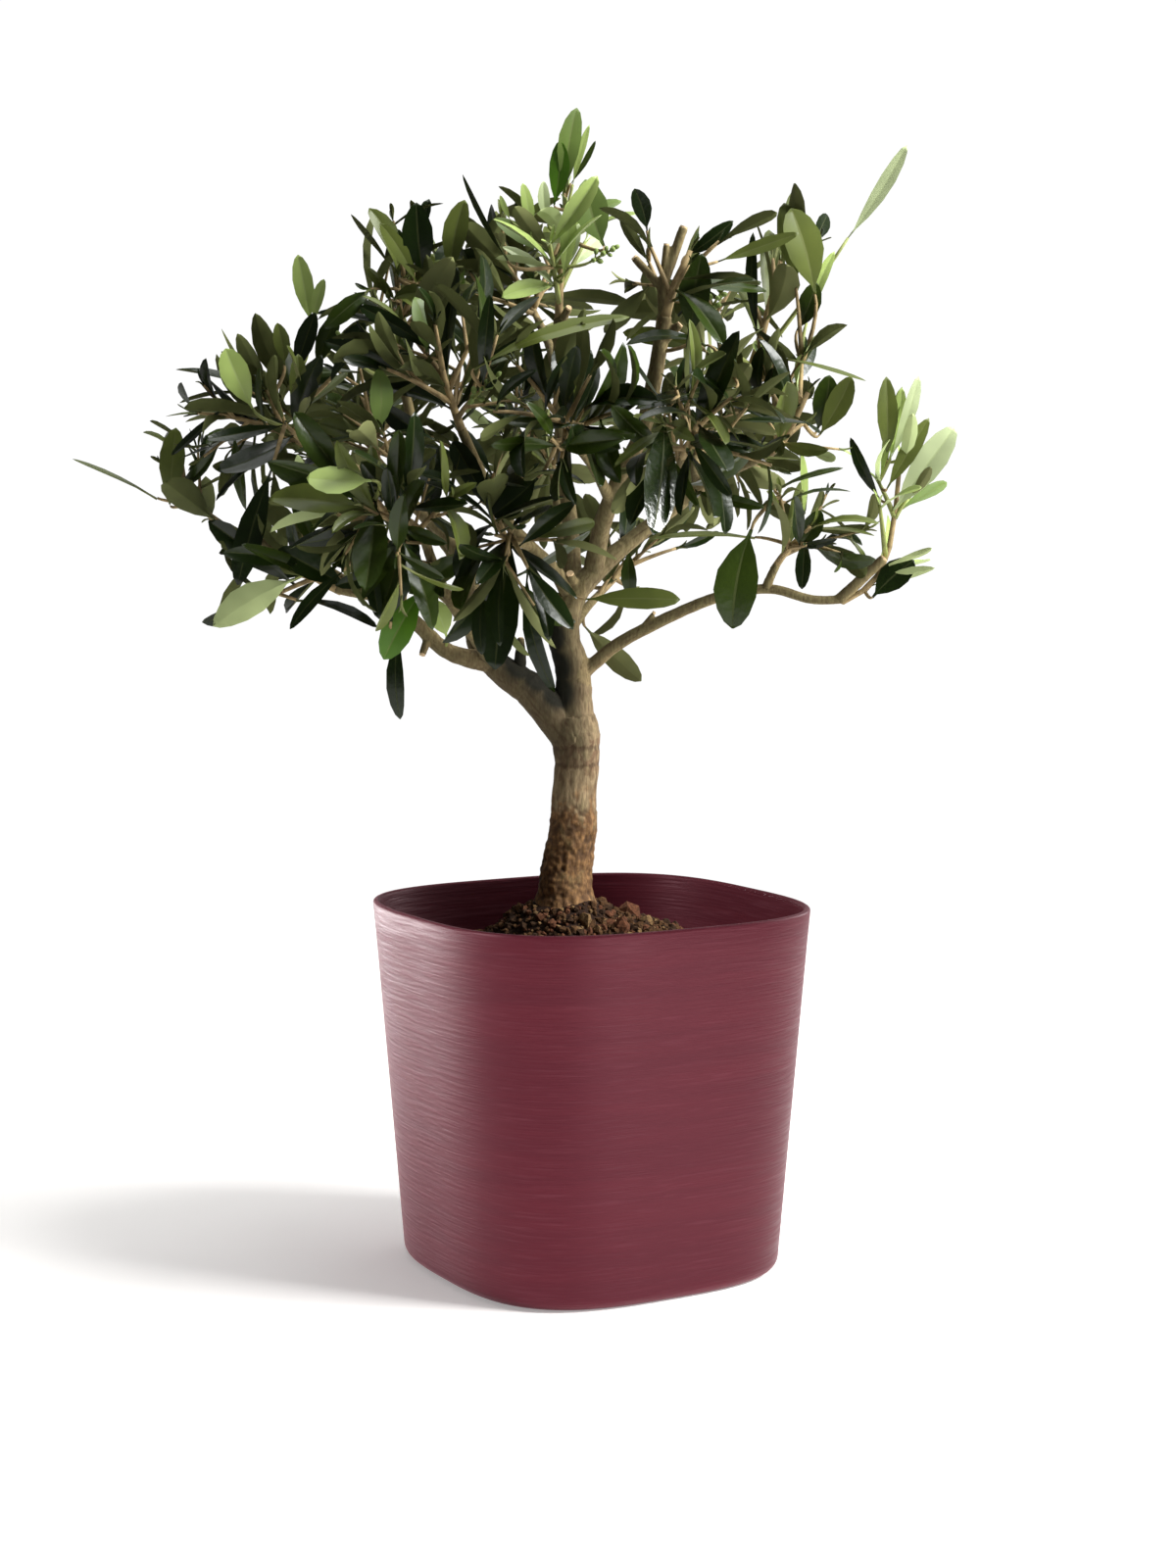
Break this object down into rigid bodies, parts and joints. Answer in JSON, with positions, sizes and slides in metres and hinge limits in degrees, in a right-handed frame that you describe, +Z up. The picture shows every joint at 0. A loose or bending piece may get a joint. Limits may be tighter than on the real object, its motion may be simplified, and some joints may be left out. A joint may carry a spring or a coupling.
{
  "type": "potted olive bonsai",
  "caption": "Small olive tree with a forked bare trunk and a loose crown of narrow leaves, growing from a mound of soil in a tapered rounded-square planter.",
  "frame": {"origin": "centre of the pot's flat underside, on the floor", "axes": "+Z up along the pot's axis; X and Y square to the pot's flat sides. The picture looks from the side of -Y, about 30 degrees towards -X"},
  "size_m": [0.3745, 0.3329, 0.566],
  "materials": {
    "pot": "satin",
    "soil": "matte",
    "bark": "matte",
    "leaf": "satin"
  },
  "bodies": {
    "root": {"pot": "pot", "soil": "soil", "trunk": "bark", "leader": "bark", "bough_left": "bark", "bough_left_low": "bark", "bough_far_left": "bark", "bough_upper_left": "bark", "bough_back_left": "bark", "bough_front_left": "bark", "bough_centre_left": "bark", "bough_low_front": "bark", "bough_top": "bark", "bough_back_top": "bark", "bough_back_centre": "bark", "bough_centre": "bark", "bough_centre_front": "bark", "bough_front_right": "bark", "bough_back_right": "bark", "bough_right": "bark", "bough_upper_back_right": "bark", "bough_right_low": "bark", "bough_low_right": "bark", "bough_low_back": "bark", "foliage_far_left": "leaf", "foliage_left": "leaf", "foliage_left_low": "leaf", "foliage_upper_left": "leaf", "foliage_back_left": "leaf", "foliage_front_left": "leaf", "foliage_centre_left": "leaf", "foliage_low_front": "leaf", "foliage_top": "leaf", "foliage_back_top": "leaf", "foliage_back_centre": "leaf", "foliage_upper_centre": "leaf", "foliage_centre_front": "leaf", "foliage_front_right": "leaf", "foliage_upper_right": "leaf", "foliage_upper_back_right": "leaf", "foliage_back_right": "leaf", "foliage_right": "leaf", "foliage_far_right": "leaf", "foliage_low_right": "leaf", "foliage_low_back": "leaf"}
  },
  "joints": []
}
